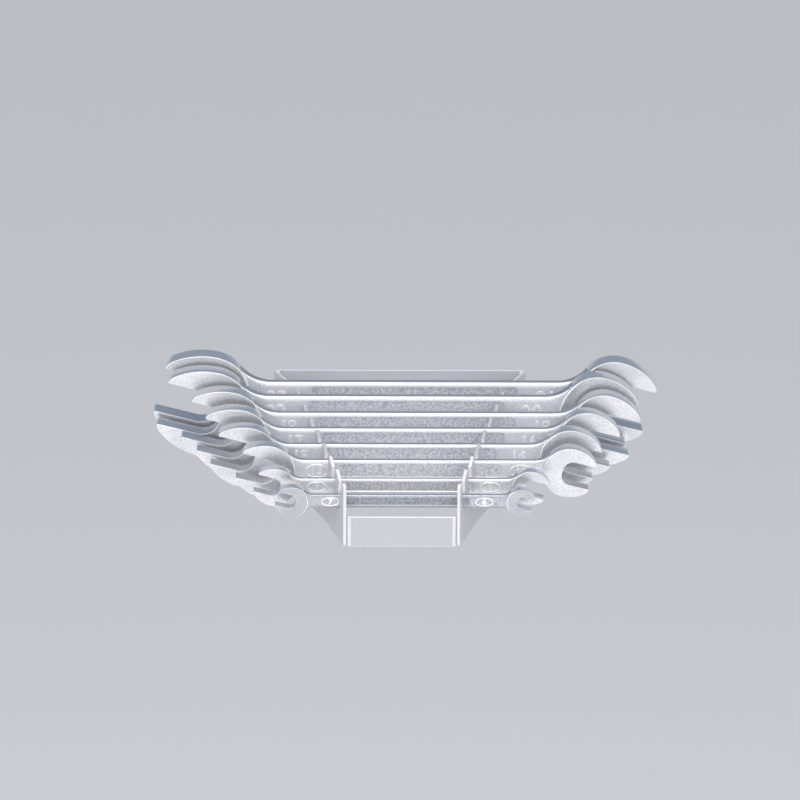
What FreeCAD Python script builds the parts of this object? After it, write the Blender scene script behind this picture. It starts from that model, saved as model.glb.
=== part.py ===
import FreeCAD, Part
import math
import os

# Wrench rack: one folded sheet with two comb-cut cheeks and a front strip welded between them,
# holding its set of double open-end wrenches. The wrenches stand on edge in the slots of the
# comb, the longest at the back. The rack hangs on a square-hole panel by hooks on its back.
#
# Millimetres. Origin midway between the two upper hooks, on the back face of the back plate.
# +X to the right, +Y into the panel, +Z up. Depth is measured forwards from the back face, so
# a point at depth d lies at y = -d.

# Folded sheet
sheet = 1.5
bend_radius = 1.5
bend_run_ratio = 3.0  # depth of the bends' piece, in outer bend radii
back_half_width = 62.6
back_top = 12.0
back_bottom = -38.5
cheek_angle = math.radians(17.9)  # each cheek leans inwards from the depth direction

# Comb along the top of each cheek
first_slot_depth = 35.4
first_slot_height = 13.2
slot_pitch = 10.0
slot_drop = 3.83
slot_length = 14.85
slot_lean = math.radians(10.0)  # the top of a slot leans forwards
slot_clearance = 0.3
seat_clearance = 0.1
lead_in_length = 2.0
lead_in_run = 3.5
tip_radius = 1.2

# Front and bottom edges of each cheek
front_tooth_width = 2.4
front_tooth_drop = 2.6
front_corner_radius = 1.2
front_bottom = -45.4
knee_depth = 82.0
knee_height = -40.6
knee_radius = 120.0

# Strip across the front, with a flange at each end against the inside of a cheek
strip_top = -30.9
strip_weld_gap = 0.1
strip_flange_length = 14.0

# Hooks and pegs, lanced from the back plate and folded back
hook_spacing = 97.2
hook_width = 6.0
hook_gap = 2.0
hook_rise = 7.5
peg_drop = 32.4
peg_reach = 6.5
lance_clearance = 0.4

# Wrenches: larger jaw (left), smaller jaw (right), overall length, and how far to the right the
# middle lies
wrenches = [
    (23.0, 21.0, 241.5, 2.1),
    (22.0, 20.0, 230.3, -1.6),
    (19.0, 18.0, 218.6, 4.7),
    (17.0, 16.0, 200.7, 3.3),
    (15.0, 14.0, 184.5, 2.2),
    (13.0, 12.0, 169.5, 6.9),
    (9.0, 8.0, 138.2, -0.2),
    (7.0, 6.0, 121.1, 1.6),
]
jaw_angle = math.radians(15.0)
large_reach = (0.0, 1.04)  # jaw tip ahead of the head's centre: a base, and for each mm of size
small_reach = (1.1, 0.88)
head_radius_base = 0.8
head_radius_ratio = 0.975
flat_back_size = 16.0  # from this size on, a head is shorter at its back than a full circle
flat_back_ratio = 0.865
crest_centre_ratio = 0.2
throat_depth_ratio = 0.26
throat_radius_ratio = 0.40
nose_ratio = 0.09
nose_width_ratio = 1.6  # a nose's width and length, in noses
nose_length_ratio = 0.6
head_thickness_base = 3.0
head_thickness_ratio = 0.245
head_chamfer_base = 0.12
head_chamfer_ratio = 0.02
neck_radius_ratio = 0.85
shank_width_base = 2.9
shank_width_ratio = 0.55
shank_thickness_ratio = 0.6
shank_chamfer_ratio = 0.24
rim_base = 1.0
rim_ratio = 0.06
recess_depth_ratio = 0.16
recess_end_base = 15.0  # from the head's centre to the end of the recess
recess_end_ratio = 1.5
recess_taper_ratio = 0.5
tolerance = 1e-6

# What the sizes above lead to
tan_cheek = math.tan(cheek_angle)
cos_cheek = math.cos(cheek_angle)
sin_cheek = math.sin(cheek_angle)
cos_lean = math.cos(slot_lean)
sin_lean = math.sin(slot_lean)
cheek_normal = FreeCAD.Vector(cos_cheek, -sin_cheek, 0)


def head_thickness(large):
    return head_thickness_base + head_thickness_ratio * large


def shank_thickness(large):
    return shank_thickness_ratio * head_thickness(large)


def shank_half_width(large):
    return (shank_width_base + shank_width_ratio * large) / 2


def reach(form, size):
    base, ratio = form
    return base + ratio * size


def head_radius(size):
    return head_radius_base + head_radius_ratio * size


def crest_offset(size):
    """How far the centre of a head's crest arc lies from the jaw's middle."""
    return crest_centre_ratio * size if size >= flat_back_size else 0


def rounded_wire(corners, place):
    """A closed wire through (a, b, radius) corners, each rounded by an arc of its radius."""
    starts = []
    count = len(corners)
    for n in range(count):
        ax, ay, _ = corners[n - 1]
        bx, by, radius = corners[n]
        cx, cy, _ = corners[(n + 1) % count]
        back = FreeCAD.Vector(ax - bx, ay - by, 0)
        ahead = FreeCAD.Vector(cx - bx, cy - by, 0)
        back.normalize()
        ahead.normalize()
        here = FreeCAD.Vector(bx, by, 0)
        if radius == 0:
            starts.append((here, None, here))
            continue
        half = back.getAngle(ahead) / 2
        cut = radius / math.tan(half)
        middle = back + ahead
        middle.normalize()
        centre = here + middle * (radius / math.sin(half))
        starts.append((here + back * cut, centre - middle * radius, here + ahead * cut))
    edges = []
    for n in range(count):
        first, middle, last = starts[n]
        following = starts[(n + 1) % count][0]
        if middle is not None:
            edges.append(Part.Arc(place(first), place(middle), place(last)).toShape())
        edges.append(Part.LineSegment(place(last), place(following)).toShape())
    return Part.Wire(edges)


def plan_point(point):
    """From (x, depth) in plan to a point at height zero."""
    return FreeCAD.Vector(point.x, -point.y, 0)


def outer_x(depth):
    """Half width over the outer faces of the cheeks."""
    return back_half_width - depth * tan_cheek


def inner_x(depth):
    return outer_x(depth) - sheet / cos_cheek


def middle_x(depth):
    return outer_x(depth) - sheet / cos_cheek / 2


# Slots

def slot_half_width(n):
    """Half of slot n across its lean, with room for the shank to pass through the slanted cheek."""
    return (shank_thickness(wrenches[n][0]) + 2 * slot_clearance + sheet * sin_cheek * cos_lean) / 2


def slot_point(n, down, across):
    """(depth, height) in slot n: down along its lean from the mouth, and across it towards the front."""
    depth = first_slot_depth + n * slot_pitch - down * sin_lean + across * cos_lean
    height = first_slot_height - n * slot_drop - down * cos_lean - across * sin_lean
    return depth, height


last_slot = len(wrenches) - 1
rack_depth = slot_point(last_slot, 0, slot_half_width(last_slot))[0] + front_tooth_width


# Rack body

def comb_corners():
    """The top edge of a cheek from back to front, as (depth, height, radius)."""
    depth, height = slot_point(0, lead_in_length, -slot_half_width(0))
    corners = [(depth - lead_in_run, back_top, tip_radius), (depth, height, 0)]
    for n in range(len(wrenches)):
        half = slot_half_width(n)
        corners.append((*slot_point(n, slot_length, -half), 0))
        corners.append((*slot_point(n, slot_length, half), 0))
        corners.append((*slot_point(n, 0, half), tip_radius))
        if n < last_slot:
            corners.append((*slot_point(n + 1, lead_in_length, -slot_half_width(n + 1)), 0))
    return corners


def cheek(end_of_bend):
    """The right cheek ahead of its bend: its outline, cut square through the sheet."""
    start_depth = end_of_bend - sheet * sin_cheek / 2
    front_top = slot_point(last_slot, 0, slot_half_width(last_slot))[1] - front_tooth_drop
    corners = [(start_depth, back_bottom, 0), (start_depth, back_top, 0)]
    corners += comb_corners()
    corners.append((rack_depth, front_top, front_corner_radius))
    corners.append((rack_depth, front_bottom, front_corner_radius))
    corners.append((knee_depth, knee_height, knee_radius))
    flat = [(depth / cos_cheek, height, radius) for depth, height, radius in corners]

    def place(point):
        depth = point.x * cos_cheek
        return FreeCAD.Vector(middle_x(depth), -depth, point.y)

    face = Part.Face(rounded_wire(flat, place))
    face.translate(cheek_normal * (-sheet / 2))
    return face.extrude(cheek_normal * sheet)


def back_and_bends(end_of_bend):
    """The back plate and both bends. Their ends are square to the cheeks."""
    outer = bend_radius + sheet
    inner_end = end_of_bend - sheet * sin_cheek
    plan = [
        (-inner_x(inner_end), inner_end, 0),
        (-outer_x(end_of_bend), end_of_bend, 0),
        (-back_half_width, 0, outer),
        (back_half_width, 0, outer),
        (outer_x(end_of_bend), end_of_bend, 0),
        (inner_x(inner_end), inner_end, 0),
        (inner_x(sheet), sheet, bend_radius),
        (-inner_x(sheet), sheet, bend_radius),
    ]
    face = Part.Face(rounded_wire(plan, plan_point))
    face.translate(FreeCAD.Vector(0, 0, back_bottom))
    return face.extrude(FreeCAD.Vector(0, 0, back_top - back_bottom))


def tongue(profile, x):
    """A tongue of hook_width at x, from its (y, height, radius) side profile."""
    wire = rounded_wire(profile, lambda point: FreeCAD.Vector(x - hook_width / 2, point.x, point.y))
    return Part.Face(wire).extrude(FreeCAD.Vector(hook_width, 0, 0))


def window(x, low, high):
    """The window that a tongue leaves in the back plate."""
    width = hook_width + 2 * lance_clearance
    front = FreeCAD.Vector(x - width / 2, -sheet - lance_clearance, low)
    return Part.makeBox(width, sheet + 2 * lance_clearance, high - low, front)


def hook(x):
    """An upper hook: back through the panel, then up behind it."""
    low = -sheet / 2
    reach = hook_gap + sheet
    profile = [
        (-sheet, low, 0),
        (reach, low, sheet),
        (reach, low + hook_rise, 0),
        (hook_gap, low + hook_rise, 0),
        (hook_gap, low + sheet, 0),
        (-sheet, low + sheet, 0),
    ]
    return tongue(profile, x)


def peg(x):
    """A lower peg: straight back into its hole, so the rack can't swing."""
    low = -peg_drop - sheet / 2
    profile = [
        (-sheet, low, 0),
        (peg_reach - sheet / 2, low, 0),
        (peg_reach, -peg_drop, 0),
        (peg_reach - sheet / 2, low + sheet, 0),
        (-sheet, low + sheet, 0),
    ]
    return tongue(profile, x)


def rack_body():
    end_of_bend = bend_run_ratio * (bend_radius + sheet)
    right = cheek(end_of_bend)
    left = right.mirror(FreeCAD.Vector(0, 0, 0), FreeCAD.Vector(1, 0, 0))
    body = back_and_bends(end_of_bend).fuse([right, left])
    half = sheet / 2
    for x in (-hook_spacing / 2, hook_spacing / 2):
        below_hook = window(x, -half - hook_gap - hook_rise, -half)
        above_peg = window(x, half - peg_drop, half - peg_drop + peg_reach)
        body = body.cut([below_hook, above_peg]).fuse([hook(x), peg(x)])
    return body.removeSplitter()


# Front strip

def front_strip():
    """A strip between the cheeks, its ends folded back along them and welded."""
    flange_end = rack_depth - strip_flange_length
    side = strip_weld_gap / cos_cheek
    wall = sheet / cos_cheek
    inner_front = rack_depth - sheet
    plan = [
        (inner_x(rack_depth) - side, rack_depth, bend_radius + sheet),
        (inner_x(flange_end) - side, flange_end, 0),
        (inner_x(flange_end) - side - wall, flange_end, 0),
        (inner_x(inner_front) - side - wall, inner_front, bend_radius),
        (-inner_x(inner_front) + side + wall, inner_front, bend_radius),
        (-inner_x(flange_end) + side + wall, flange_end, 0),
        (-inner_x(flange_end) + side, flange_end, 0),
        (-inner_x(rack_depth) + side, rack_depth, bend_radius + sheet),
    ]
    face = Part.Face(rounded_wire(plan, plan_point))
    face.translate(FreeCAD.Vector(0, 0, front_bottom))
    return face.extrude(FreeCAD.Vector(0, 0, strip_top - front_bottom))


# Wrenches, each drawn flat about its own middle: X along it, Y across it, Z through it

def flat_point(x, y):
    return FreeCAD.Vector(x, y, 0)


def centred_prism(wire, thickness):
    face = Part.Face(wire)
    face.translate(FreeCAD.Vector(0, 0, -thickness / 2))
    return face.extrude(FreeCAD.Vector(0, 0, thickness))


def rim_edges(solid, thickness):
    """The edges round the two flat faces of a prism."""
    edges = []
    for edge in solid.Edges:
        box = edge.BoundBox
        if box.ZLength < tolerance and abs(abs(box.ZMin) - thickness / 2) < tolerance:
            edges.append(edge)
    return edges


def nose_height(size):
    """From the jaw's middle to the foremost point of a nose."""
    return (size + nose_ratio * size) / 2


def head_back(size):
    """The back of a head's outline, from crest to crest, as edges."""
    radius = head_radius(size)
    offset = crest_offset(size)
    crests = (flat_point(0, radius), flat_point(0, -radius))
    if offset == 0:
        return [Part.Arc(crests[0], flat_point(-radius, 0), crests[1]).toShape()]
    crest_radius = radius - offset
    back = flat_back_ratio * size
    step = back - crest_radius
    back_centre = (offset ** 2 - step ** 2) / (2 * step)
    back_radius = back + back_centre
    turn = math.atan2(offset, back_centre)
    half_turn = math.pi / 4 + turn / 2
    edges = []
    joins = []
    for side, crest in zip((1, -1), crests):
        join = flat_point(back_centre - back_radius * math.cos(turn), side * back_radius * math.sin(turn))
        bow_x = -crest_radius * math.cos(half_turn)
        bow_y = offset + crest_radius * math.sin(half_turn)
        edges.append(Part.Arc(crest, flat_point(bow_x, side * bow_y), join).toShape())
        joins.append(join)
    edges.append(Part.Arc(joins[0], flat_point(-back, 0), joins[1]).toShape())
    return edges


def head(size, form, thickness):
    """A head before its jaw is cut, about its own centre, pointing towards +X."""
    radius = head_radius(size)
    front = reach(form, size)
    nose = nose_ratio * size
    tip = size / 2 + nose_width_ratio * nose
    drop = radius - tip
    shoulder = front - nose_length_ratio * nose
    side_radius = (shoulder ** 2 + drop ** 2) / (2 * drop)
    bow = math.asin(shoulder / side_radius) / 2
    bow_x = side_radius * math.sin(bow)
    bow_y = radius - side_radius * (1 - math.cos(bow))
    edges = head_back(size)
    noses = []
    for side in (-1, 1):
        start = flat_point(shoulder, side * tip)
        noses.append(flat_point(front, side * nose_height(size)))
        edges.append(Part.Arc(flat_point(0, side * radius), flat_point(bow_x, side * bow_y), start).toShape())
        edges.append(Part.LineSegment(start, noses[-1]).toShape())
    edges.append(Part.LineSegment(*noses).toShape())
    solid = centred_prism(Part.Wire(Part.__sortEdges__(edges)), thickness)
    chamfer = head_chamfer_base + head_chamfer_ratio * size
    return solid.makeChamfer(chamfer, rim_edges(solid, thickness))


def jaw(size, form, thickness):
    """What the jaw takes out of a head: parallel faces with a rounded throat."""
    mouth = reach(form, size) + size / 2
    throat = -throat_depth_ratio * size
    radius = throat_radius_ratio * size
    corners = [
        (throat, -size / 2, radius),
        (mouth, -size / 2, 0),
        (mouth, size / 2, 0),
        (throat, size / 2, radius),
    ]
    return centred_prism(rounded_wire(corners, lambda point: point), 2 * thickness)


def head_centre(size, form, length):
    """How far a head's centre lies from the wrench's middle, so that its tip ends the length."""
    tip = reach(form, size) * math.cos(jaw_angle) + nose_height(size) * math.sin(jaw_angle)
    return length / 2 - tip


def neck(size, half):
    """A neck's fillet and the crest arc it runs into: their radii, and the steps between centres."""
    across = crest_offset(size) * math.cos(jaw_angle)
    crest_radius = head_radius(size) - crest_offset(size)
    fillet = neck_radius_ratio * size
    rise = half + fillet - across
    run = math.sqrt((crest_radius + fillet) ** 2 - rise ** 2)
    return fillet, crest_radius, run, rise


def shank(large, small, left_centre, right_centre, thickness):
    """The shank with its necks flaring into the two heads."""
    half = shank_half_width(large)
    edges = []
    for side in (1, -1):
        rows = []
        for way, centre, size in ((1, right_centre, small), (-1, left_centre, large)):
            fillet, crest_radius, run, rise = neck(size, half)
            middle = way * centre + side * crest_offset(size) * math.sin(jaw_angle)
            share = fillet / (crest_radius + fillet)
            straight = middle - way * run
            turn = math.atan2(run, rise) / 2
            start = flat_point(straight + way * run * share, side * (half + fillet - rise * share))
            bend_x = straight + way * fillet * math.sin(turn)
            bend_y = half + fillet * (1 - math.cos(turn))
            rows.append(flat_point(straight, side * half))
            arc = Part.Arc(start, flat_point(bend_x, side * bend_y), rows[-1])
            edges.append(arc.toShape())
            edges.append(Part.LineSegment(start, flat_point(way * centre, 0)).toShape())
        edges.append(Part.LineSegment(*rows).toShape())
    solid = centred_prism(Part.Wire(Part.__sortEdges__(edges)), thickness)
    outside = [edge for edge in rim_edges(solid, thickness) if not touches_axis(edge)]
    return solid.makeChamfer(shank_chamfer_ratio * thickness, outside)


def touches_axis(edge):
    return min(abs(vertex.Point.y) for vertex in edge.Vertexes) < tolerance


def recess(large, small, left_centre, right_centre, thickness):
    """The two shallow recesses, one in each side of the shank."""
    half = shank_half_width(large) - rim_base - rim_ratio * large
    right = right_centre - recess_end_base - recess_end_ratio * small
    left = left_centre - recess_end_base - recess_end_ratio * large
    end = recess_taper_ratio * half
    corners = [
        (right, half, 0),
        (-left, half, 0),
        (-left - end, end, 0),
        (-left - end, -end, 0),
        (-left, -half, 0),
        (right, -half, 0),
        (right + end, -end, 0),
        (right + end, end, 0),
    ]
    depth = recess_depth_ratio * thickness
    face = Part.Face(rounded_wire(corners, lambda point: point))
    tools = []
    for base in (thickness / 2 - depth, -thickness / 2 - depth):
        tool = face.copy()
        tool.translate(FreeCAD.Vector(0, 0, base))
        tools.append(tool.extrude(FreeCAD.Vector(0, 0, 2 * depth)))
    return tools


def wrench(n):
    """Wrench n, forged in one piece, standing on edge in slot n."""
    large, small, length, offset = wrenches[n]
    left_centre = head_centre(large, large_reach, length)
    right_centre = head_centre(small, small_reach, length)
    thickness = head_thickness(large)
    sizes = (large, small, left_centre, right_centre, shank_thickness(large))
    body = shank(*sizes)
    jaws = []
    for size, form, centre, turn in (
        (large, large_reach, -left_centre, 180 - math.degrees(jaw_angle)),
        (small, small_reach, right_centre, -math.degrees(jaw_angle)),
    ):
        place = FreeCAD.Placement(flat_point(centre, 0), FreeCAD.Rotation(FreeCAD.Vector(0, 0, 1), turn))
        blank = head(size, form, thickness)
        blank.Placement = place
        body = body.fuse(blank)
        jaws.append(jaw(size, form, thickness))
        jaws[-1].Placement = place
    body = body.cut(jaws + recess(*sizes)).removeSplitter()
    depth, height = slot_point(n, slot_length - seat_clearance - shank_half_width(large), 0)
    stand = FreeCAD.Rotation(FreeCAD.Vector(1, 0, 0), 90 + math.degrees(slot_lean))
    body.Placement = FreeCAD.Placement(FreeCAD.Vector(offset, -depth, height), stand)
    return body


def write(shape, node):
    shape.exportStep("parts/" + node + ".step")
    print(node, "valid", shape.isValid(), "solids", len(shape.Solids), "volume", round(shape.Volume, 1))


os.makedirs("parts", exist_ok=True)
write(rack_body(), "rack_body")
write(front_strip(), "front_strip")
for number, (large_jaw, small_jaw, _, _) in enumerate(wrenches):
    write(wrench(number), "wrench_%dx%d" % (small_jaw, large_jaw))
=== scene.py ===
import bmesh
import bpy
import math
from mathutils import Matrix, Vector


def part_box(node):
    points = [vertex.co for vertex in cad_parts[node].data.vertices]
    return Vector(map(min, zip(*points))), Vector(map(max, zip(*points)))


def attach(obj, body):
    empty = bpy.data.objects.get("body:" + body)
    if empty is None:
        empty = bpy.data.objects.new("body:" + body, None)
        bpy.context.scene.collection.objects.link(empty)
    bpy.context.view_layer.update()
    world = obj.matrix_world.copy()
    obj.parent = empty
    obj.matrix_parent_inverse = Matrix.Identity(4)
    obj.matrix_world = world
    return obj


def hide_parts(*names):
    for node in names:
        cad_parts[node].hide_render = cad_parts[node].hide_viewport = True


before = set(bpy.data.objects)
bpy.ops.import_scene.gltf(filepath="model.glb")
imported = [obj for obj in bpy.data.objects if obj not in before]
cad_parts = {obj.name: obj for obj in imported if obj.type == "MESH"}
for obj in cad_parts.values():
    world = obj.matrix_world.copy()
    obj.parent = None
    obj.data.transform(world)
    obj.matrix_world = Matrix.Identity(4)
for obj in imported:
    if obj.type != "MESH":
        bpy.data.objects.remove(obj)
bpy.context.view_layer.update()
scene = bpy.context.scene
mm = 0.001
toMetres = Matrix.Scale(mm, 4)
print("frame loaded", sorted(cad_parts))


# Camera: the photograph's place and lens

cameraView = {
    "place": Vector((-0.02068, -1.79810, 0.46462)),
    "right": Vector((0.99993343, -0.0101789, 0.00543344)),
    "up": Vector((-0.00269442, 0.25189144, 0.96775175)),
    "lens": 170.435,
    "sensor": 36.0,
}


def addCamera(view):
    data = bpy.data.cameras.new("photoCamera")
    data.lens = view["lens"]
    data.sensor_width = view["sensor"]
    camera = bpy.data.objects.new("photoCamera", data)
    back = view["right"].cross(view["up"])
    turn = Matrix((view["right"], view["up"], back)).transposed().to_4x4()
    camera.matrix_world = Matrix.Translation(view["place"]) @ turn
    scene.collection.objects.link(camera)
    scene.camera = camera


addCamera(cameraView)
print("camera placed")


# Shader maths, written as expressions on sockets

class Value:
    def __init__(self, paint, socket):
        self.paint = paint
        self.socket = socket

    def beside(self, name):
        # another output of the same node
        return Value(self.paint, self.socket.node.outputs[name])

    def maths(self, operation, *values):
        return self.paint.node("ShaderNodeMath", {"operation": operation}, dict(enumerate(values)))

    def __add__(self, other):
        return self.maths("ADD", self, other)

    def __radd__(self, other):
        return self.maths("ADD", other, self)

    def __sub__(self, other):
        return self.maths("SUBTRACT", self, other)

    def __rsub__(self, other):
        return self.maths("SUBTRACT", other, self)

    def __mul__(self, other):
        return self.maths("MULTIPLY", self, other)

    def __rmul__(self, other):
        return self.maths("MULTIPLY", other, self)


class Paint:
    # one node tree, of a material or of the world
    def __init__(self, owner):
        owner.use_nodes = True
        self.tree = owner.node_tree

    def node(self, kind, settings, sockets, output=0):
        made = self.tree.nodes.new(kind)
        for name, setting in settings.items():
            setattr(made, name, setting)
        for name, value in sockets.items():
            self.feed(made.inputs[name], value)
        return Value(self, made.outputs[output])

    def feed(self, socket, value):
        if isinstance(value, Value):
            self.tree.links.new(value.socket, socket)
        else:
            socket.default_value = value

    def mixColours(self, share, first, second):
        # a Mix node's colours are its inputs 6 and 7 and its output 2
        sockets = {"Factor": share, 6: first, 7: second}
        return self.node("ShaderNodeMix", {"data_type": "RGBA"}, sockets, 2)

    def objectPlace(self):
        return self.node("ShaderNodeTexCoord", {}, {}, "Object")

    def noise(self, place, size, detail, roughness):
        # grains about size metres across
        sockets = {"Vector": place, "Scale": 1 / size, "Detail": detail, "Roughness": roughness}
        return self.node("ShaderNodeTexNoise", {}, sockets, 0)

    def level(self, value, low, high):
        # 0 below low, 1 above high
        sockets = {"Value": value, "From Min": low, "From Max": high}
        return self.node("ShaderNodeMapRange", {"clamp": True}, sockets)

    def bump(self, height, strength, distance):
        sockets = {"Height": height, "Strength": strength, "Distance": distance}
        return self.node("ShaderNodeBump", {}, sockets)


def nothing(paint):
    return {}


def material(name, fixed, varying=nothing):
    # fixed values go on the shader's own sockets; varying(paint) returns what changes over the surface
    made = bpy.data.materials.new(name)
    paint = Paint(made)
    shader = paint.tree.nodes["Principled BSDF"]
    for socket, value in {**fixed, **varying(paint)}.items():
        paint.feed(shader.inputs[socket], value)
    return made


# Finishes

# a noise is the size of its grains, its detail and its roughness; its levels are read as 0 and 1
polishedFinish = {
    "base": (0.80, 0.80, 0.81, 1),
    "dull": (0.72, 0.72, 0.75, 1),
    "speck": (0.61, 0.62, 0.65, 1),
    "patches": (0.012, 3.0, 0.6),
    "patchLevels": (0.35, 0.70),
    "grains": (0.0008, 2.0, 0.6),
    "grainLevels": (0.38, 0.60),
    "roughness": 0.34,
    "roughnessSpread": 0.12,
    "bump": 0.10,
    "bumpHeight": 0.00004,
}
# painted shade: the smallest wrench's head finish is a darker copy, standing in for the darker reflections
# it shows at the front
shadedSmallPolishedFinish = {
    **polishedFinish,
    "base": (0.54, 0.54, 0.56, 1),
    "dull": (0.48, 0.49, 0.52, 1),
    "speck": (0.44, 0.45, 0.48, 1),
}


def polishedWith(finish):
    def varying(paint):
        place = paint.objectPlace()
        patches = paint.level(paint.noise(place, *finish["patches"]), *finish["patchLevels"])
        grains = paint.noise(place, *finish["grains"])
        clear = paint.mixColours(patches, finish["base"], finish["dull"])
        unspecked = paint.level(grains, *finish["grainLevels"])
        return {
            "Base Color": paint.mixColours(unspecked, finish["speck"], clear),
            "Roughness": finish["roughness"] + patches * finish["roughnessSpread"],
            "Normal": paint.bump(grains, finish["bump"], finish["bumpHeight"]),
        }
    return varying


blastedFinish = {
    "pale": (0.97, 0.97, 0.98, 1),
    "dark": (0.77, 0.79, 0.83, 1),
    "clumps": (0.0010, 3.0, 0.65),
    "clumpLevels": (0.35, 0.65),
    "fine": (0.0006, 1.0, 0.5),
    "fineShare": 0.3,
    "roughness": 0.36,
    "roughnessSpread": 0.12,
    "bump": 0.30,
    "bumpHeight": 0.00008,
}
recessFinish = {
    **blastedFinish,
    "pale": (1.0, 1.0, 1.0, 1),
    "dark": (0.62, 0.64, 0.69, 1),
    "clumps": (0.0011, 3.0, 0.65),
    "clumpLevels": (0.40, 0.60),
    "roughness": 0.42,
    "roughnessSpread": 0.14,
    "bump": 0.65,
    "bumpHeight": 0.00010,
}
# painted shade: darker copies of the shank finishes for the smallest wrench
shadedSmallBlastedFinish = {
    **blastedFinish,
    "pale": (0.58, 0.59, 0.62, 1),
    "dark": (0.40, 0.42, 0.46, 1),
}
shadedSmallRecessFinish = {
    **recessFinish,
    "pale": (0.44, 0.45, 0.48, 1),
    "dark": (0.26, 0.28, 0.32, 1),
}


def blastedWith(finish):
    def varying(paint):
        place = paint.objectPlace()
        clumps = paint.level(paint.noise(place, *finish["clumps"]), *finish["clumpLevels"])
        fine = paint.noise(place, *finish["fine"])
        height = clumps * (1 - finish["fineShare"]) + fine * finish["fineShare"]
        return {
            "Base Color": paint.mixColours(clumps, finish["dark"], finish["pale"]),
            "Roughness": finish["roughness"] + (1 - clumps) * finish["roughnessSpread"],
            "Normal": paint.bump(height, finish["bump"], finish["bumpHeight"]),
        }
    return varying


powderFinish = {
    "base": (0.54, 0.54, 0.58, 1),
    "shade": (0.50, 0.50, 0.54, 1),
    "patches": (0.03, 3.0, 0.55),
    "peel": (0.0009, 2.0, 0.5),
    "roughness": 0.32,
    "roughnessSpread": 0.08,
    "bump": 0.12,
    "bumpHeight": 0.00005,
}


def powderCoat(paint):
    finish = powderFinish
    place = paint.objectPlace()
    patches = paint.noise(place, *finish["patches"])
    peel = paint.noise(place, *finish["peel"])
    return {
        "Base Color": paint.mixColours(patches, finish["base"], finish["shade"]),
        "Roughness": finish["roughness"] + peel * finish["roughnessSpread"],
        "Normal": paint.bump(peel, finish["bump"], finish["bumpHeight"]),
    }


# painted highlight: along the cut edges the coat is paler than on the flat sheet, standing in for the
# light the edges catch; it is also glossier there
edgeHighlightFinish = {
    "Base Color": (0.78, 0.78, 0.81, 1),
    "Roughness": 0.30,
    "Coat Weight": 0.6,
    "Coat Roughness": 0.15,
}


# painted shade: the tops of the teeth between the wrenches are darker, standing in for the wrenches' shade
toothShadeFinish = {
    "Base Color": (0.46, 0.46, 0.49, 1),
    "Roughness": 0.45,
}


# painted highlight: rims, raised numbers and ovals are white and less metallic than the faces, so they
# show brighter
highlightFinish = {
    "Base Color": (1.0, 1.0, 1.0, 1),
    "Metallic": 0.4,
    "Roughness": 0.26,
}


# the walls round the heads, cooler and smoother than their faces
wallFinish = {
    "Base Color": (0.70, 0.72, 0.76, 1),
    "Metallic": 0.8,
    "Roughness": 0.30,
}


# painted shade: a dark line along the middle of the shanks' edges, standing in for the shade in the gaps
# between the wrenches
edgeShadeFinish = {
    "Base Color": (0.34, 0.37, 0.43, 1),
    "Metallic": 0.6,
    "Roughness": 0.42,
}


polished = material("polishedChrome", {"Metallic": 0.75}, polishedWith(polishedFinish))
# the smallest wrench's darker copy is painted shade
shadedSmallPolished = material("shadedSmallPolishedChrome", {"Metallic": 0.75}, polishedWith(shadedSmallPolishedFinish))
# painted highlight on rims, numbers and ovals
paintedHighlight = material("paintedHighlightChrome", highlightFinish)
wall = material("sideChrome", wallFinish)
blasted = material("blastedChrome", {"Metallic": 0.55}, blastedWith(blastedFinish))
recessed = material("recessChrome", {"Metallic": 0.55}, blastedWith(recessFinish))
# the smallest wrench's darker copies are painted shade
shadedSmallBlasted = material("shadedSmallBlastedChrome", {"Metallic": 0.55}, blastedWith(shadedSmallBlastedFinish))
shadedSmallRecessed = material("shadedSmallRecessChrome", {"Metallic": 0.55}, blastedWith(shadedSmallRecessFinish))
# painted shade line along the shanks' edges
edgeShade = material("paintedEdgeShade", edgeShadeFinish)
powder = material("greyPowderCoat", {"Coat Weight": 0.4, "Coat Roughness": 0.2}, powderCoat)
# painted highlight on the rack's cut edges and rounded ends
edgeHighlightPowder = material("edgeHighlightPowderCoat", edgeHighlightFinish)
# painted shade on the tops of the rear teeth
toothShadePowder = material("toothPaintedShadeCoat", toothShadeFinish)

# what the places in a piece's list of materials are for
sheetPlaces = {"sheet": 0, "edgeHighlight": 1, "tooth": 2}
wrenchPlaces = {"head": 0, "shank": 1, "paintedHighlight": 2, "wall": 3, "recess": 4, "edgeShade": 5}
print("finishes made")


# Help with meshes

def finishPiece(name, bm, materials, slot, *nodes):
    # the bmesh, in metres and in its place, becomes a piece that stands for the nodes
    mesh = bpy.data.meshes.new(name)
    bm.to_mesh(mesh)
    bm.free()
    for each in materials:
        mesh.materials.append(each)
    piece = bpy.data.objects.new(name, mesh)
    scene.collection.objects.link(piece)
    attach(piece, "root")
    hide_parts(*nodes)
    return piece


def paintFaces(faces, place):
    for face in faces:
        face.material_index = place


def capsStayFlat(faces):
    for face in faces:
        face.smooth = len(face.verts) <= 4


# Rack: the folded sheets, with the soft edges that the paint gives them

# squareOn, roundedFrom and upright say how far a face's normal lies in a direction
rack = {
    "edgeRadius": 0.45 * mm,
    "edgeSteps": 3,
    "sharp": math.radians(30),
    "mergeDistance": 0.002 * mm,
    "flatAngle": math.radians(0.5),
    "flatArea": 45 * mm * mm,
    "cheekTurn": math.radians(17.9),
    "squareOn": 0.985,
    "roundedFrom": 0.45,
    "upright": 0.3,
    "frontStart": -100 * mm,
    "rearTeeth": (-86 * mm, -8 * mm),
}


def isShadedRearTooth(face):
    # the top of a tooth between the rear wrenches, which takes the painted shade
    first, last = rack["rearTeeth"]
    return abs(face.normal.z) > rack["upright"] and first < face.calc_center_median().y < last


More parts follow.
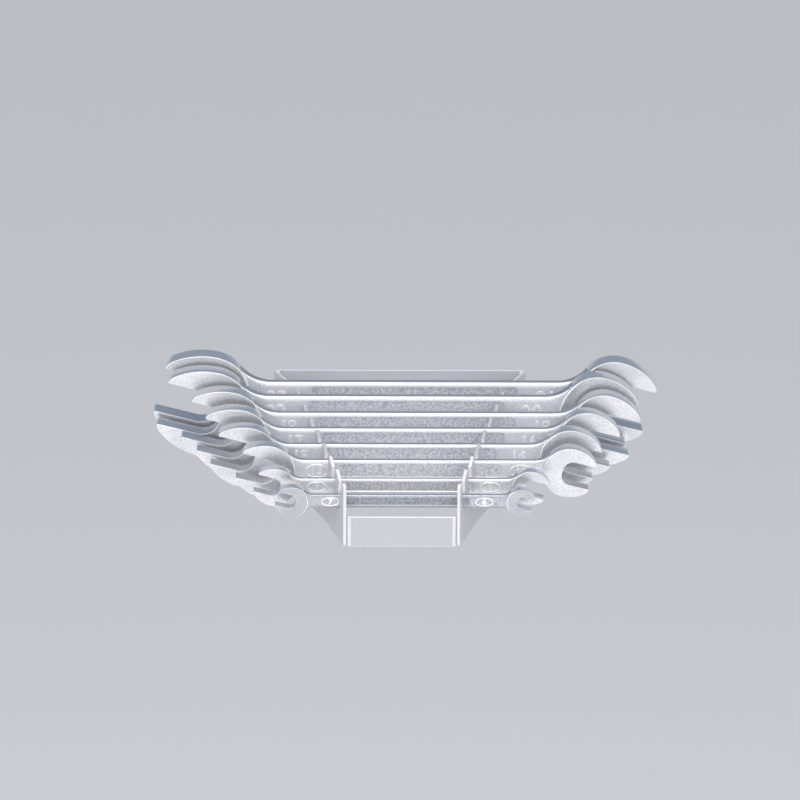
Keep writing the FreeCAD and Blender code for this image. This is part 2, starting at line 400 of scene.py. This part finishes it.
def isHighlightedEdge(face):
    # the comb, the tops and bottoms, the front edges of the cheeks and the strip's rounded ends, which
    # take the painted highlight
    centre = face.calc_center_median()
    forward = Vector((-math.sin(rack["cheekTurn"]), -math.cos(rack["cheekTurn"]), 0))
    if centre.x < 0:
        forward.x = -forward.x
    front = face.normal.dot(forward) > rack["squareOn"] and centre.y < rack["frontStart"]
    turned = rack["roundedFrom"] < -face.normal.y < rack["squareOn"]
    rounded = turned and face.calc_area() < rack["flatArea"]
    return front or rounded or abs(face.normal.z) > rack["upright"]


def paintedSheet(node, name):
    bm = bmesh.new()
    bm.from_mesh(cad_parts[node].data)
    bmesh.ops.remove_doubles(bm, verts=bm.verts, dist=rack["mergeDistance"])
    bmesh.ops.dissolve_limit(bm, angle_limit=rack["flatAngle"], verts=bm.verts, edges=bm.edges)
    # the cut edges, and after the bevel the rounded edges, take the painted highlight
    paintFaces([face for face in bm.faces if isHighlightedEdge(face)], sheetPlaces["edgeHighlight"])
    edges = [edge for edge in bm.edges if edge.calc_face_angle(0) > rack["sharp"]]
    rounded = bmesh.ops.bevel(bm, geom=edges, offset=rack["edgeRadius"], segments=rack["edgeSteps"],
                              profile=0.5, affect="EDGES", clamp_overlap=True, material=-1)
    paintFaces(rounded["faces"], sheetPlaces["edgeHighlight"])
    # the tops of the rear teeth take the painted shade
    paintFaces([face for face in bm.faces if isShadedRearTooth(face)], sheetPlaces["tooth"])
    for face in bm.faces:
        face.smooth = len(face.verts) <= 4 and face.calc_area() < rack["flatArea"]
    return finishPiece(name, bm, [powder, edgeHighlightPowder, toothShadePowder], "rack_paint", node)


paintedSheet("rack_body", "rackBody")
paintedSheet("front_strip", "frontStrip")
print("rack made")


# Wrenches, in millimetres, each drawn flat about its own middle: X along it, Y across it, Z through it

# lengths in pairs are a base and so much for each millimetre of jaw size, as sized() reads them
wrenches = {
    "lean": math.radians(10),
    "jawTurn": math.radians(15),
    "largeReach": (0.0, 1.04),
    "smallReach": (1.1, 0.88),
    "headRadius": (0.8, 0.975),
    "headThickness": (3.0, 0.245),
    "headEdge": (0.25, 0.034),
    "headEdgeSteps": 3,
    "backSlope": (math.radians(35), math.radians(65)),
    "backFrom": 0.7,
    "shankShare": 0.6,
    "shankWidth": (2.9, 0.55),
    "shankRise": (-0.7, 0.1),
    "flatBackSize": 16,
    "flatBack": 0.865,
    "crestCentre": 0.2,
    "throatDepth": 0.26,
    "throatRadius": 0.40,
    "nose": 0.09,
    "neckRadius": 0.85,
    "arcSteps": 20,
    "smallest": 7,
    "wallTurn": 0.5,
    "near": 0.001,
}


# a nose's width and length, and how far each of its corners is rounded, in noses
noseForm = {
    "width": 1.6,
    "length": 0.6,
    "atLip": 0.39,
    "atTip": 0.095,
    "atShoulder": 0.55,
    "steps": 5,
}


def sized(form, size):
    base, ratio = wrenches[form]
    return base + ratio * size


def shankThickness(large):
    return wrenches["shankShare"] * sized("headThickness", large)


def shankHalves(large):
    # from the wrench's middle line to the shank's upper and lower edges
    half = sized("shankWidth", large) / 2
    return {1: half + sized("shankRise", large), -1: half}


def crestOffset(size):
    # the larger heads are flatter at their backs, with a crest arc off the middle on each side
    return wrenches["crestCentre"] * size if size >= wrenches["flatBackSize"] else 0


def headCentre(size, reachForm, length):
    turn = wrenches["jawTurn"]
    noseHeight = (size + wrenches["nose"] * size) / 2
    tip = sized(reachForm, size) * math.cos(turn) + noseHeight * math.sin(turn)
    return length / 2 - tip


def sweep(bm, vert, centre, angle, steps):
    # carries a vertex round a centre and returns the last one
    made = bmesh.ops.spin(bm, geom=[vert], cent=(centre[0], centre[1], 0), axis=(0, 0, 1), angle=angle,
                          steps=steps, use_duplicate=False)
    return [each for each in made["geom_last"] if isinstance(each, bmesh.types.BMVert)][0]


def line(bm, vert, x, y):
    following = bm.verts.new((x, y, 0))
    bm.edges.new((vert, following))
    return following


def turnAbout(centre, start, end):
    first = math.atan2(start[1] - centre[1], start[0] - centre[0])
    last = math.atan2(end[1] - centre[1], end[0] - centre[0])
    return (last - first + math.pi) % (2 * math.pi) - math.pi


def addBack(head, size):
    # half the back of a head's outline, from its middle to the crest
    radius = sized("headRadius", size)
    offset = crestOffset(size)
    if offset == 0:
        first = head.verts.new((-radius, 0, 0))
        return sweep(head, first, (0, 0), -math.pi / 2, wrenches["arcSteps"])
    back = wrenches["flatBack"] * size
    step = back - (radius - offset)
    backCentre = (offset ** 2 - step ** 2) / (2 * step)
    turn = math.atan2(offset, backCentre)
    first = head.verts.new((-back, 0, 0))
    join = sweep(head, first, (backCentre, 0), -turn, wrenches["arcSteps"] // 2)
    return sweep(head, join, (0, offset), turn - math.pi / 2, wrenches["arcSteps"])


def smoothStep(value):
    value = min(max(value, 0), 1)
    return value * value * (3 - 2 * value)


def slopeBack(head, rim, radius, thickness):
    # towards the shank a head's rim slopes down to the shank's face
    step = (1 - wrenches["shankShare"]) / 2 * thickness
    start, end = wrenches["backSlope"]
    for vert in head.verts:
        depth = thickness / 2 - abs(vert.co.z)
        out = math.hypot(vert.co.x, vert.co.y)
        if depth > rim + wrenches["near"] or out < wrenches["backFrom"] * radius:
            continue
        fromBack = abs(math.atan2(vert.co.y, -vert.co.x))
        growth = (step / rim - 1) * (1 - smoothStep((fromBack - start) / (end - start)))
        inward = rim - math.sqrt(max(rim ** 2 - (rim - depth) ** 2, 0))
        vert.co.xy *= 1 - growth * inward / out
        vert.co.z = math.copysign(thickness / 2 - depth * (1 + growth), vert.co.z)


def addHead(bm, size, reachForm, thickness, place):
    radius = sized("headRadius", size)
    rim = sized("headEdge", size)
    nose = wrenches["nose"] * size
    reach = sized(reachForm, size)
    jaw = size / 2
    shoulder = (reach - noseForm["length"] * nose, jaw + noseForm["width"] * nose)
    drop = radius - shoulder[1]
    sideRadius = (shoulder[0] ** 2 + drop ** 2) / (2 * drop)
    sideCentre = (0, radius - sideRadius)
    throat = -wrenches["throatDepth"] * size
    curve = wrenches["throatRadius"] * size
    head = bmesh.new()
    crest = addBack(head, size)
    turn = turnAbout(sideCentre, (0, radius), shoulder)
    flank = sweep(head, crest, sideCentre, turn, wrenches["arcSteps"])
    tip = line(head, flank, reach, jaw + nose / 2)
    lip = line(head, tip, reach, jaw)
    corner = line(head, lip, throat + curve, jaw)
    deep = sweep(head, corner, (throat + curve, jaw - curve), math.pi / 2, wrenches["arcSteps"] // 2)
    line(head, deep, throat, 0)
    half = list(head.verts) + list(head.edges)
    bmesh.ops.mirror(head, geom=half, axis="Y", merge_dist=wrenches["near"])
    bmesh.ops.remove_doubles(head, verts=head.verts, dist=wrenches["near"])
    bmesh.ops.edgeloop_fill(head, edges=head.edges)
    for height, share in ((jaw, "atLip"), (jaw + nose / 2, "atTip"), (shoulder[1], "atShoulder")):
        corners = [vert for vert in head.verts if vert.co.x > shoulder[0] - wrenches["near"]
                   and abs(abs(vert.co.y) - height) < wrenches["near"]]
        bmesh.ops.bevel(head, geom=corners, offset=noseForm[share] * nose, segments=noseForm["steps"],
                        profile=0.5, affect="VERTICES", clamp_overlap=True, material=-1)
    bmesh.ops.translate(head, verts=head.verts, vec=(0, 0, -thickness / 2))
    grown = bmesh.ops.extrude_face_region(head, geom=head.faces)
    top = [each for each in grown["geom"] if isinstance(each, bmesh.types.BMVert)]
    bmesh.ops.translate(head, verts=top, vec=(0, 0, thickness))
    bmesh.ops.recalc_face_normals(head, faces=head.faces)
    rims = [edge for edge in head.edges if abs(edge.verts[0].co.z - edge.verts[1].co.z) < wrenches["near"]]
    rounded = bmesh.ops.bevel(head, geom=rims, offset=rim, segments=wrenches["headEdgeSteps"],
                              profile=0.5, affect="EDGES", clamp_overlap=True, material=-1)
    slopeBack(head, rim, radius, thickness)
    head.normal_update()
    walls = [face for face in head.faces if abs(face.normal.z) < wrenches["wallTurn"]]
    paintFaces(walls, wrenchPlaces["wall"])
    # the rounded rims take the painted highlight
    paintFaces(rounded["faces"], wrenchPlaces["paintedHighlight"])
    capsStayFlat(head.faces)
    bmesh.ops.transform(head, matrix=place, verts=head.verts)
    pour(head, bm)


def pour(source, target):
    # adds one bmesh to another
    mesh = bpy.data.meshes.new("poured")
    source.to_mesh(mesh)
    source.free()
    target.from_mesh(mesh)
    bpy.data.meshes.remove(mesh)


# recessRim and recessEnd are a base and so much for each millimetre of jaw size
shankForm = {
    "edgeRatio": 0.46,
    "edgeSteps": 6,
    "edgeShadeTurn": 0.5,
    "faceTurn": 0.9,
    "squarer": 0.7,
    "recessWall": 0.9,
    "recessDepth": 0.16,
    "recessCorner": 0.55,
    "recessRim": (0.65, 0.06),
    "recessEnd": (15, 1.5),
    "recessTaper": 0.25,
    "recessColumns": (0.0, 0.35, 0.6, 0.75),
    "wallColumns": (1.0, 0.8, 0.6, 0.4, 0.2, 0.0),
    "columnGap": 0.02,
    "endSteps": 10,
    "neckSteps": 14,
    "endSpan": 5.0,
    "intoHead": 0.08,
    "pinch": 0.75,
    "merge": 0.0005,
}


def neckForm(way, centre, size, halves):
    # a neck's fillet, and on each side where it leaves the shank and where it touches the head
    offset = crestOffset(size)
    crestRadius = sized("headRadius", size) - offset
    fillet = wrenches["neckRadius"] * size
    ends = {}
    for side, half in halves.items():
        rise = half + fillet - offset * math.cos(wrenches["jawTurn"])
        run = math.sqrt((crestRadius + fillet) ** 2 - rise ** 2)
        straight = centre + side * offset * math.sin(wrenches["jawTurn"]) - way * run
        ends[side] = (straight, straight + way * run * fillet / (crestRadius + fillet))
    return {"way": way, "size": size, "fillet": fillet, "ends": ends}


def halfWidth(necks, halves, x, side):
    for neck in necks:
        straight, touch = neck["ends"][side]
        inside = neck["way"] * (x - straight)
        if inside > 0:
            bent = min(inside, neck["way"] * (touch - straight))
            rise = neck["fillet"] - math.sqrt(neck["fillet"] ** 2 - bent ** 2)
            return halves[side] + rise - shankForm["pinch"] * (inside - bent)
    return halves[side]


def edgeRadius(necks, edge, x, side):
    # the edge grows squarer along a neck, towards the head
    for neck in necks:
        straight, touch = neck["ends"][side]
        if neck["way"] * (x - straight) > 0:
            return edge * (1 - shankForm["squarer"] * smoothStep((x - straight) / (touch - straight)))
    return edge


def recessForm(large, small, leftCentre, rightCentre, half, thick):
    # where the recess starts and ends, half its height, and its depth
    rimBase, rimRatio = shankForm["recessRim"]
    endBase, endRatio = shankForm["recessEnd"]
    taper = shankForm["recessTaper"] * half
    return {
        "start": endBase + endRatio * large - leftCentre - taper,
        "end": rightCentre - endBase - endRatio * small + taper,
        "half": half - rimBase - rimRatio * large,
        "depth": shankForm["recessDepth"] * thick,
    }


def sunk(recess, x, y):
    # how far the shank's face lies sunk at a point
    middle = (recess["start"] + recess["end"]) / 2
    halfLength = (recess["end"] - recess["start"]) / 2
    corner = shankForm["recessCorner"] * recess["half"]
    outX = abs(x - middle) - (halfLength - corner)
    outY = abs(y) - (recess["half"] - corner)
    away = math.hypot(max(outX, 0), max(outY, 0)) + min(max(outX, outY), 0) - corner
    return recess["depth"] * smoothStep(-away / shankForm["recessWall"])


def shankStations(necks, recess):
    # where along the shank its sections stand, close together in the necks and at the recess's ends
    stations = []
    for neck, border in zip(necks, (recess["start"], recess["end"])):
        way = neck["way"]
        steps = shankForm["neckSteps"]
        for straight, touch in neck["ends"].values():
            stations += [straight + (touch - straight) * n / steps for n in range(steps + 1)]
        inner = way * max(way * touch for straight, touch in neck["ends"].values())
        stations.append(inner + way * shankForm["intoHead"] * neck["size"])
        span = shankForm["endSpan"] / 2
        count = shankForm["endSteps"]
        stations += [border + span * (2 * n / count - 1) for n in range(count + 1)]
    return sorted({round(station, 2) for station in stations})


def sectionColumns(recess, flat):
    # once round a section: each column is on a face, at a height, or on an edge, at an angle
    heights = [share * recess["half"] for share in shankForm["recessColumns"]]
    heights += [recess["half"] - shankForm["recessWall"] * share for share in shankForm["wallColumns"]]
    heights = sorted(height for height in heights if height < flat - shankForm["columnGap"])
    steps = shankForm["edgeSteps"]
    quarter = [("face", height) for height in heights]
    quarter += [("edge", math.pi / 2 * (1 - n / steps)) for n in range(steps + 1)]
    columns = []
    for sideY, sideZ, order in ((1, 1, 1), (1, -1, -1), (-1, -1, 1), (-1, 1, -1)):
        columns += [(kind, value, sideY, sideZ) for kind, value in quarter[::order]]
    return columns


def addShank(bm, large, small, leftCentre, rightCentre):
    # a grid wrapped round as a tube through the sections, with its ends filled inside the heads
    thick = shankThickness(large)
    halves = shankHalves(large)
    half = (halves[1] + halves[-1]) / 2
    lift = (halves[1] - halves[-1]) / 2
    edge = shankForm["edgeRatio"] * thick
    flat = half - edge
    necks = [neckForm(-1, -leftCentre, large, halves), neckForm(1, rightCentre, small, halves)]
    recess = recessForm(large, small, leftCentre, rightCentre, half, thick)
    stations = shankStations(necks, recess)
    columns = sectionColumns(recess, flat)

    def sectionPoint(x, kind, value, sideY, sideZ):
        width = halfWidth(necks, halves, x, sideY) - sideY * lift
        radius = edgeRadius(necks, edge, x, sideY)
        if kind == "face":
            y = value * (width - radius) / flat
            z = thick / 2 - sunk(recess, x, y)
        else:
            y = width - radius + radius * math.cos(value)
            z = thick / 2 - radius + radius * math.sin(value)
        return Vector((x, lift + sideY * y, sideZ * z))

    def isRecessed(face):
        centre = face.calc_center_median()
        onFace = len(face.verts) <= 4 and abs(face.normal.z) > shankForm["faceTurn"]
        return onFace and sunk(recess, centre.x, centre.y - lift) > recess["depth"] / 2

    shank = bmesh.new()
    bmesh.ops.create_grid(shank, x_segments=len(stations) - 1, y_segments=len(columns), size=1)
    for vert in shank.verts:
        row = round((vert.co.x + 1) / 2 * (len(stations) - 1))
        column = round((vert.co.y + 1) / 2 * len(columns)) % len(columns)
        vert.co = sectionPoint(stations[row], *columns[column])
    bmesh.ops.remove_doubles(shank, verts=shank.verts, dist=shankForm["merge"])
    openEdges = [each for each in shank.edges if each.is_boundary]
    bmesh.ops.holes_fill(shank, edges=openEdges)
    bmesh.ops.recalc_face_normals(shank, faces=shank.faces)
    capsStayFlat(shank.faces)
    paintFaces(shank.faces, wrenchPlaces["shank"])
    # the middle of each edge takes the painted shade line
    shadedEdgeFaces = [face for face in shank.faces if abs(face.normal.z) < shankForm["edgeShadeTurn"]]
    paintFaces(shadedEdgeFaces, wrenchPlaces["edgeShade"])
    paintFaces([face for face in shank.faces if isRecessed(face)], wrenchPlaces["recess"])
    pour(shank, bm)


numberForm = {
    "standOut": 0.26,
    "rounding": 0.14,
    "fromCentre": 11.0,
    "perSize": 0.95,
    "digitHeight": 0.42,
    "capitalShare": 0.7,
    "bolder": 0.02,
    "curveSteps": 4,
    "roundingSteps": 2,
    "merge": 0.001,
}


# the raised oval round a smaller number: its length and height by the shank's width
ovalForm = {
    "largest": 13,
    "length": (4.1, 0.59),
    "height": 0.6,
    "thickness": 0.3,
    "ringSteps": 12,
    "steps": 40,
    "merge": 0.0005,
    "sortAlong": Vector((1, 0.31, 0.17)),
}


def addNumber(bm, size, large, place, thick):
    width = sum(shankHalves(large).values())
    text = bpy.data.curves.new("number", "FONT")
    text.body = "%d" % size
    text.align_x = "CENTER"
    text.align_y = "CENTER"
    digitHeight = numberForm["digitHeight"] * width
    text.size = digitHeight / numberForm["capitalShare"]
    text.extrude = numberForm["standOut"] - numberForm["rounding"]
    text.offset = numberForm["bolder"] * digitHeight
    text.bevel_depth = numberForm["rounding"]
    text.bevel_resolution = numberForm["roundingSteps"]
    text.resolution_u = numberForm["curveSteps"]
    holder = bpy.data.objects.new("number", text)
    mesh = bpy.data.meshes.new_from_object(holder)
    bpy.data.objects.remove(holder)
    bpy.data.curves.remove(text)
    digits = bmesh.new()
    digits.from_mesh(mesh)
    bpy.data.meshes.remove(mesh)
    bmesh.ops.remove_doubles(digits, verts=digits.verts, dist=numberForm["merge"])
    # the numbers take the painted highlight
    paintFaces(digits.faces, wrenchPlaces["paintedHighlight"])
    if large <= ovalForm["largest"]:
        addOval(digits, width)
    for turn in (0, math.pi):
        facing = digits.copy()
        lift = Matrix.Translation((0, 0, thick / 2))
        side = place @ Matrix.Rotation(turn, 4, "Y") @ lift
        bmesh.ops.transform(facing, matrix=side, verts=facing.verts)
        pour(facing, bm)
    digits.free()


def addOval(bm, width):
    # spun as a ring of radius 1, then drawn out to its length and height
    base, ratio = ovalForm["length"]
    length = base + ratio * width
    height = ovalForm["height"] * width
    ring = bmesh.new()
    section = Matrix.Translation((1, 0, 0)) @ Matrix.Rotation(math.pi / 2, 4, "X")
    bmesh.ops.create_circle(ring, segments=ovalForm["ringSteps"], radius=ovalForm["thickness"],
                            matrix=section)
    bmesh.ops.spin(ring, geom=ring.verts[:] + ring.edges[:], cent=(0, 0, 0), axis=(0, 0, 1),
                   angle=2 * math.pi, steps=ovalForm["steps"], use_merge=True, use_duplicate=False)
    for vert in ring.verts:
        out = math.hypot(vert.co.x, vert.co.y)
        along = Vector((vert.co.x / out, vert.co.y / out))
        vert.co.x = along.x * (length / 2 + out - 1)
        vert.co.y = along.y * (height / 2 + out - 1)
    bmesh.ops.remove_doubles(ring, verts=ring.verts, dist=ovalForm["merge"])
    bmesh.ops.recalc_face_normals(ring, faces=ring.faces)
    for face in ring.faces:
        face.smooth = True
    # the oval takes the painted highlight
    paintFaces(ring.faces, wrenchPlaces["paintedHighlight"])
    # spin leaves the ring's faces in another order on each run, so they are put in a set one
    ring.faces.sort(key=lambda face: face.calc_center_median().dot(ovalForm["sortAlong"]))
    pour(ring, bm)


def placeOf(node):
    # where the wrench's own middle goes, measured from the CAD node
    stand = Matrix.Rotation(math.pi / 2 + wrenches["lean"], 4, "X")
    low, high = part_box(node)
    middleX = (low.x + high.x) / 2
    length = high.x - low.x
    corners = [stand.inverted() @ vert.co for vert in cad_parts[node].data.vertices]
    central = [corner for corner in corners if abs(corner.x - middleX) < length / 4]
    middleY = (min(corner.y for corner in central) + max(corner.y for corner in central)) / 2
    middleZ = (min(corner.z for corner in corners) + max(corner.z for corner in corners)) / 2
    return stand @ Matrix.Translation((middleX, middleY, middleZ)) @ toMetres, length / mm


def addWrench(node):
    small, large = (float(size) for size in node.split("_")[1].split("x"))
    place, length = placeOf(node)
    thickness = sized("headThickness", large)
    leftCentre = headCentre(large, "largeReach", length)
    rightCentre = headCentre(small, "smallReach", length)
    turn = wrenches["jawTurn"]
    bm = bmesh.new()
    leftHead = Matrix.Translation((-leftCentre, 0, 0)) @ Matrix.Rotation(math.pi - turn, 4, "Z")
    rightHead = Matrix.Translation((rightCentre, 0, 0)) @ Matrix.Rotation(-turn, 4, "Z")
    addHead(bm, large, "largeReach", thickness, leftHead)
    addHead(bm, small, "smallReach", thickness, rightHead)
    addShank(bm, large, small, leftCentre, rightCentre)
    halves = shankHalves(large)
    lift = (halves[1] - halves[-1]) / 2
    for way, centre, size in ((-1, leftCentre, large), (1, rightCentre, small)):
        away = numberForm["fromCentre"] + numberForm["perSize"] * size
        spot = Matrix.Translation((way * (centre - away), lift, 0))
        addNumber(bm, size, large, spot, shankThickness(large))
    bmesh.ops.transform(bm, matrix=place, verts=bm.verts)
    paints = [polished, blasted, paintedHighlight, wall, recessed, edgeShade]
    # the smallest wrench takes the darker copies: painted shade
    if large == wrenches["smallest"]:
        paints = [shadedSmallPolished, shadedSmallBlasted, paintedHighlight, wall, shadedSmallRecessed, edgeShade]
    finishPiece("wrench%dx%d" % (small, large), bm, paints, "wrench_chrome", node)


for node in sorted(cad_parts):
    if node.startswith("wrench_"):
        addWrench(node)
        print("made", node)


# Floor, lamps and world

floor = {
    "height": -0.75,
    "halfSize": 30.0,
    "colour": (0.80, 0.80, 0.81, 1),
    "roughness": 0.9,
}


def addFloor():
    bm = bmesh.new()
    bmesh.ops.create_grid(bm, x_segments=1, y_segments=1, size=floor["halfSize"])
    bmesh.ops.translate(bm, verts=bm.verts, vec=(0, 0, floor["height"]))
    mesh = bpy.data.meshes.new("floor")
    bm.to_mesh(mesh)
    bm.free()
    finish = {"Roughness": floor["roughness"], "Base Color": floor["colour"]}
    mesh.materials.append(material("paleFloor", finish))
    plane = bpy.data.objects.new("floor", mesh)
    scene.collection.objects.link(plane)


# each lamp: where it stands, how wide and high it is, and its power
lamps = {
    "topBox": (Vector((0.0, -0.9, 1.9)), 1.8, 0.6, 16.0),
    "leftBox": (Vector((-1.9, -1.4, 0.9)), 1.2, 1.2, 7.0),
    "rightBox": (Vector((1.9, -1.4, 0.9)), 1.2, 1.2, 7.0),
    "lowBox": (Vector((0.0, -0.85, -0.50)), 1.6, 0.5, 2.0),
}


def addLamp(name, place, width, height, power):
    data = bpy.data.lights.new(name, "AREA")
    data.shape = "RECTANGLE"
    data.size = width
    data.size_y = height
    data.energy = power
    lamp = bpy.data.objects.new(name, data)
    lamp.location = place
    lamp.rotation_euler = (-place).to_track_quat("-Z", "Y").to_euler()
    lamp.visible_camera = False
    scene.collection.objects.link(lamp)


# the world is pale all round, with a cooler grey high up at the back
sky = {
    "pale": (0.86, 0.86, 0.87, 1),
    "cool": (0.20, 0.25, 0.33, 1),
    "height": (0.05, 0.30),
    "back": (0.0, 0.35),
}


def addWorld():
    world = bpy.data.worlds.new("studio")
    scene.world = world
    paint = Paint(world)
    direction = paint.node("ShaderNodeTexCoord", {}, {}, "Generated")
    height = paint.node("ShaderNodeSeparateXYZ", {}, {"Vector": direction}, "Z")
    back = height.beside("Y")
    share = paint.level(height, *sky["height"]) * paint.level(back, *sky["back"])
    colour = paint.mixColours(share, sky["pale"], sky["cool"])
    paint.feed(paint.tree.nodes["Background"].inputs["Color"], colour)


addFloor()
for name, settings in lamps.items():
    addLamp(name, *settings)
addWorld()
scene.view_settings.view_transform = "Standard"
print("studio made")
